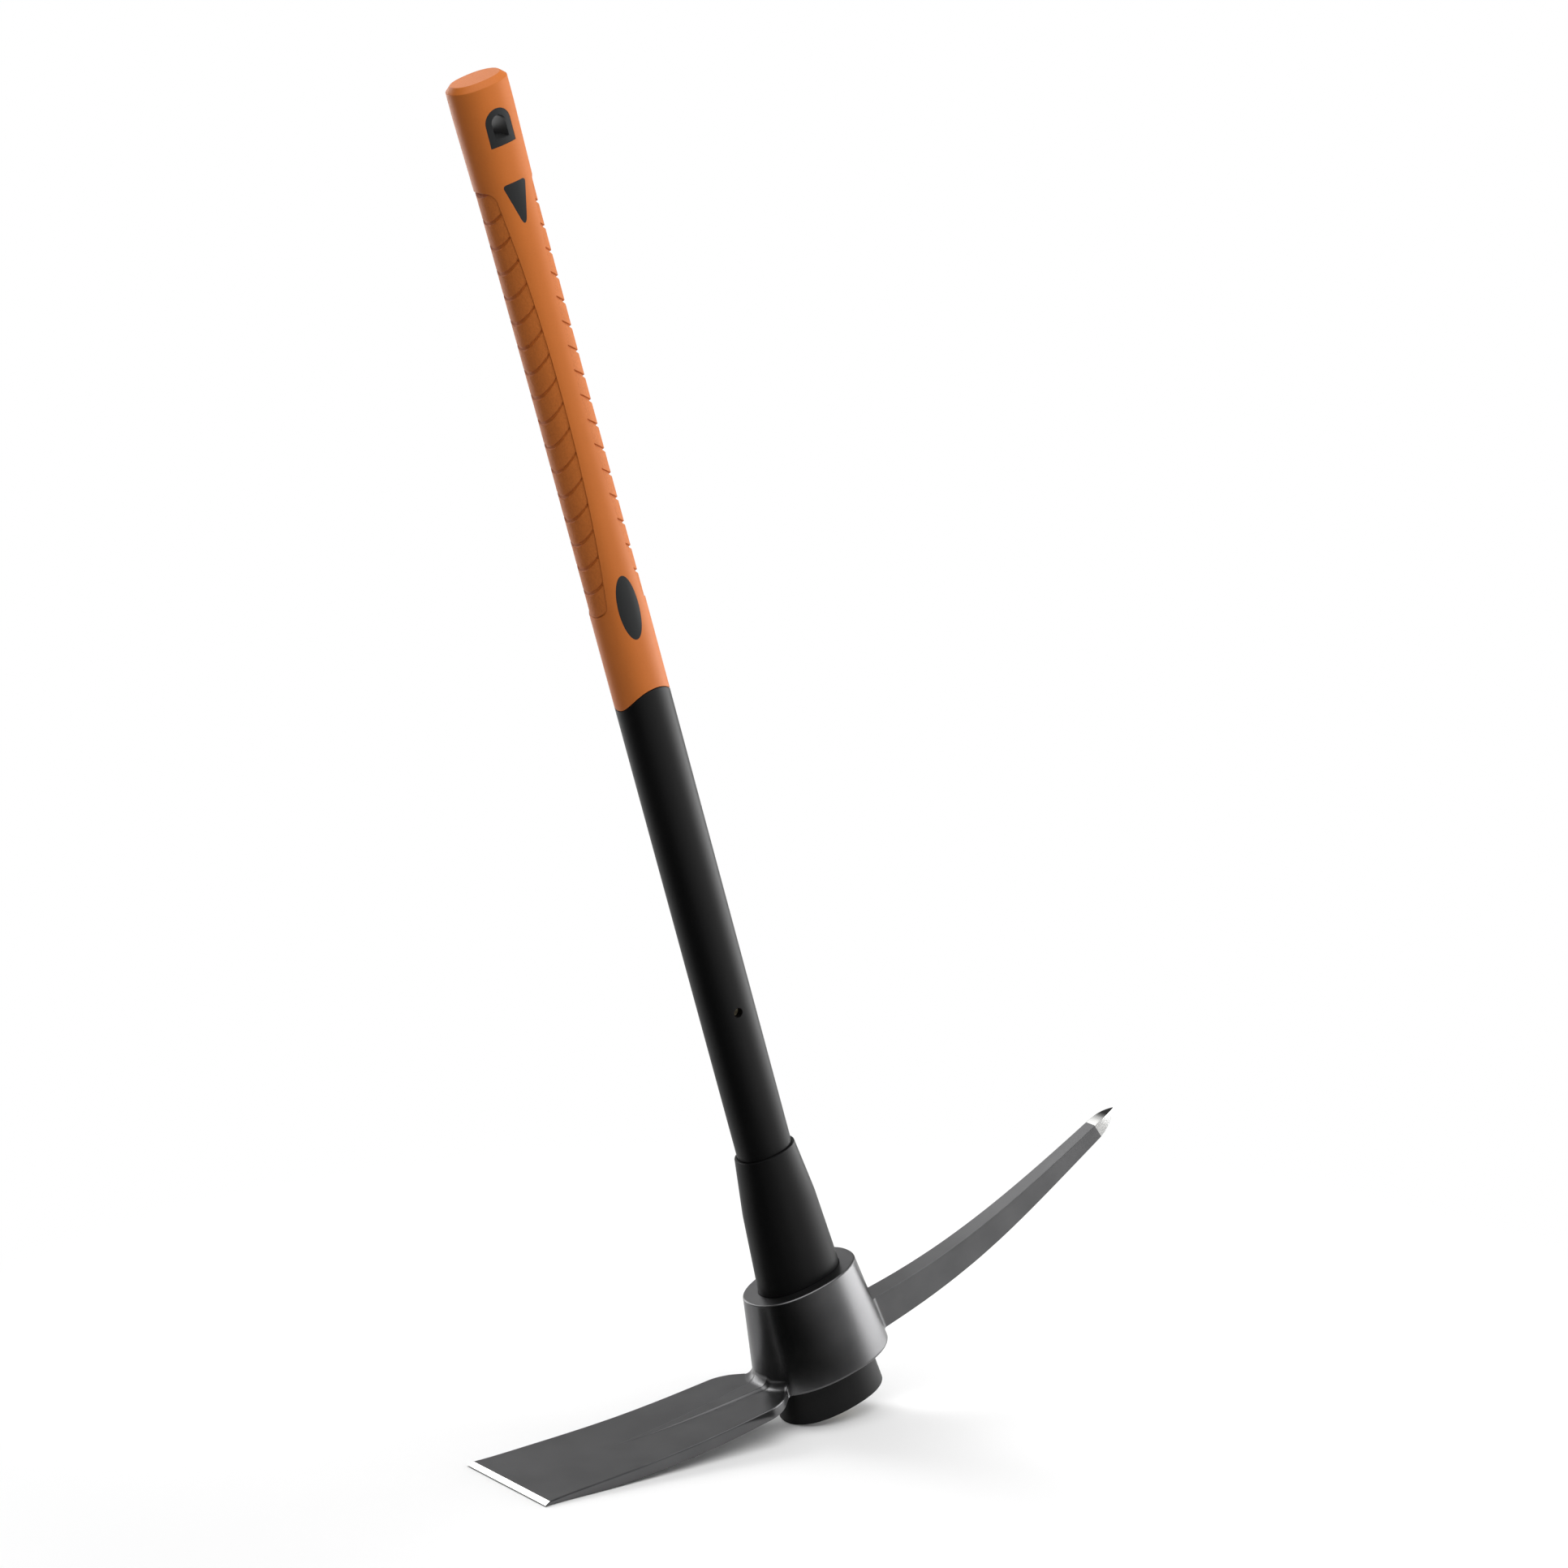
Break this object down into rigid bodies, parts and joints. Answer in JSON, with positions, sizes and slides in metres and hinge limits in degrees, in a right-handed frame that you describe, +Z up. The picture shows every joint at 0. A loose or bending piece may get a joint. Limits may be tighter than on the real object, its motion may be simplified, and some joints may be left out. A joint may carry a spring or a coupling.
{
  "type": "pickaxe",
  "caption": "Pick mattock: a forged head with a pointed pick and a broad blade on a tapered oval eye, slipped over a long moulded handle with a cushioned grip and a hang hole.",
  "frame": {"origin": "on the floor, under the middle of the standing tool's box", "axes": "+Z up from the floor, +X towards the pick, -X towards the mattock blade; the handle leans 16.5 degrees towards -X in the plane Y = 0"},
  "size_m": [0.505, 0.0914, 0.8911],
  "materials": {
    "orange_rubber": "satin moulded soft rubber",
    "grained_rubber": "finely grained soft rubber with slanted grooves",
    "black_plastic": "satin injection moulded plastic",
    "black_inlay": "smooth satin plastic",
    "glass_fibre": "pultruded glass fibre in resin, sawn end",
    "coated_steel": "dark satin coating over forged steel, ground bright at both working ends"
  },
  "bodies": {
    "handle": {"eye_sleeve": "black_plastic", "fiberglass_core": "glass_fibre", "grip_overmold": "orange_rubber", "grip_pad_blade_side": "grained_rubber", "grip_pad_pick_side": "grained_rubber", "hang_hole_liner": "black_inlay", "oval_badge_back": "black_inlay", "oval_badge_front": "black_inlay", "shaft_jacket": "black_plastic", "triangle_inlay_back": "black_inlay", "triangle_inlay_front": "black_inlay"},
    "head": {"head_forging": "coated_steel"}
  },
  "joints": [
    {"name": "head_slide", "type": "slide", "parent": "handle", "child": "head", "axis": [-0.2848, 0, 0.9586], "range_m": [0, 0.9]}
  ]
}
